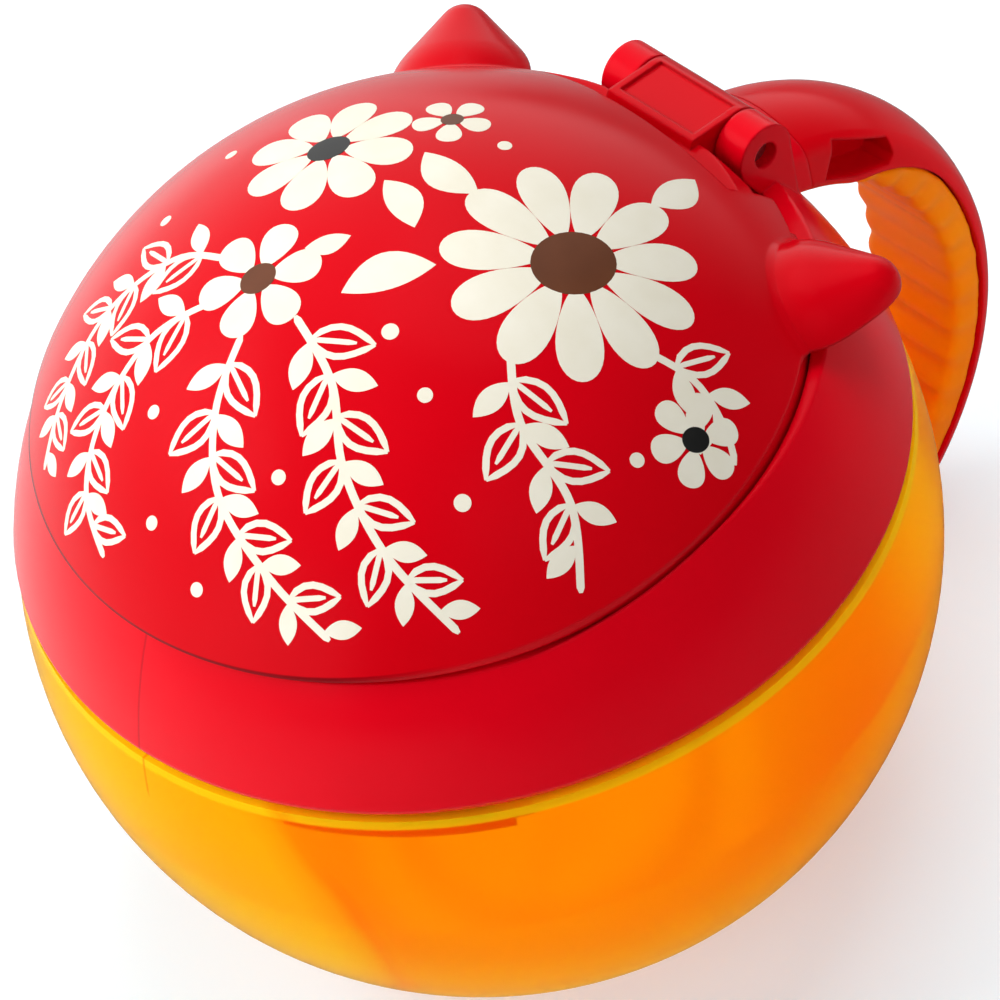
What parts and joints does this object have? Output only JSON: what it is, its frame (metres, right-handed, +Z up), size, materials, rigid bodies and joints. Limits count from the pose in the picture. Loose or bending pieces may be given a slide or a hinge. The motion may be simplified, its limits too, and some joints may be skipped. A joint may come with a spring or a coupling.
{
  "type": "toddler snack container",
  "caption": "Ball-shaped snack cup for toddlers: twist-off collar with a loop handle, soft flaps in the mouth and a hinged dome lid with round ears.",
  "frame": {"origin": "centre of the flat foot that the cup stands on", "axes": "+Z up through the middle of the ball, +Y towards the hinge and the handle, +X to the right seen from the front"},
  "size_m": [0.1, 0.1222, 0.0946],
  "materials": {
    "cup": "clear tinted, polished",
    "shell": "gloss",
    "grip": "soft satin",
    "flaps": "soft satin",
    "pin": "drawn"
  },
  "bodies": {
    "cup": {"cup": "cup"},
    "collar": {"collar": "shell", "handle": "shell", "grip": "grip", "flap_rim": "flaps", "clamp_ring": "shell", "hinge_pin": "pin"},
    "lid": {"lid": "shell"},
    "flap_1": {"flap_1": "flaps"},
    "flap_2": {"flap_2": "flaps"},
    "flap_3": {"flap_3": "flaps"},
    "flap_4": {"flap_4": "flaps"},
    "flap_5": {"flap_5": "flaps"},
    "flap_6": {"flap_6": "flaps"}
  },
  "joints": [
    {"name": "collar_twist", "type": "hinge", "parent": "cup", "child": "collar", "pos_m": [0, 0, 0.0547], "axis": [0, 0, 1], "range_deg": [0, 40]},
    {"name": "lid_hinge", "type": "hinge", "parent": "collar", "child": "lid", "pos_m": [0, 0.03976, 0.0756], "axis": [-1, 0, 0], "range_deg": [0, 145]},
    {"name": "flap_1_fold", "type": "hinge", "parent": "collar", "child": "flap_1", "pos_m": [0.02695, -0.0023, 0.06645], "axis": [0, -1, 0], "range_deg": [-45, 75], "stiffness_Nm_per_rad": 0.004},
    {"name": "flap_2_fold", "type": "hinge", "parent": "collar", "child": "flap_2", "pos_m": [0.01348, 0.02104, 0.06645], "axis": [0.866, -0.5, 0], "range_deg": [-45, 75], "stiffness_Nm_per_rad": 0.004},
    {"name": "flap_3_fold", "type": "hinge", "parent": "collar", "child": "flap_3", "pos_m": [-0.01348, 0.02104, 0.06645], "axis": [0.866, 0.5, 0], "range_deg": [-45, 75], "stiffness_Nm_per_rad": 0.004},
    {"name": "flap_4_fold", "type": "hinge", "parent": "collar", "child": "flap_4", "pos_m": [-0.02695, -0.0023, 0.06645], "axis": [0, 1, 0], "range_deg": [-45, 75], "stiffness_Nm_per_rad": 0.004},
    {"name": "flap_5_fold", "type": "hinge", "parent": "collar", "child": "flap_5", "pos_m": [-0.01348, -0.02564, 0.06645], "axis": [-0.866, 0.5, 0], "range_deg": [-45, 75], "stiffness_Nm_per_rad": 0.004},
    {"name": "flap_6_fold", "type": "hinge", "parent": "collar", "child": "flap_6", "pos_m": [0.01348, -0.02564, 0.06645], "axis": [-0.866, -0.5, 0], "range_deg": [-45, 75], "stiffness_Nm_per_rad": 0.004}
  ]
}
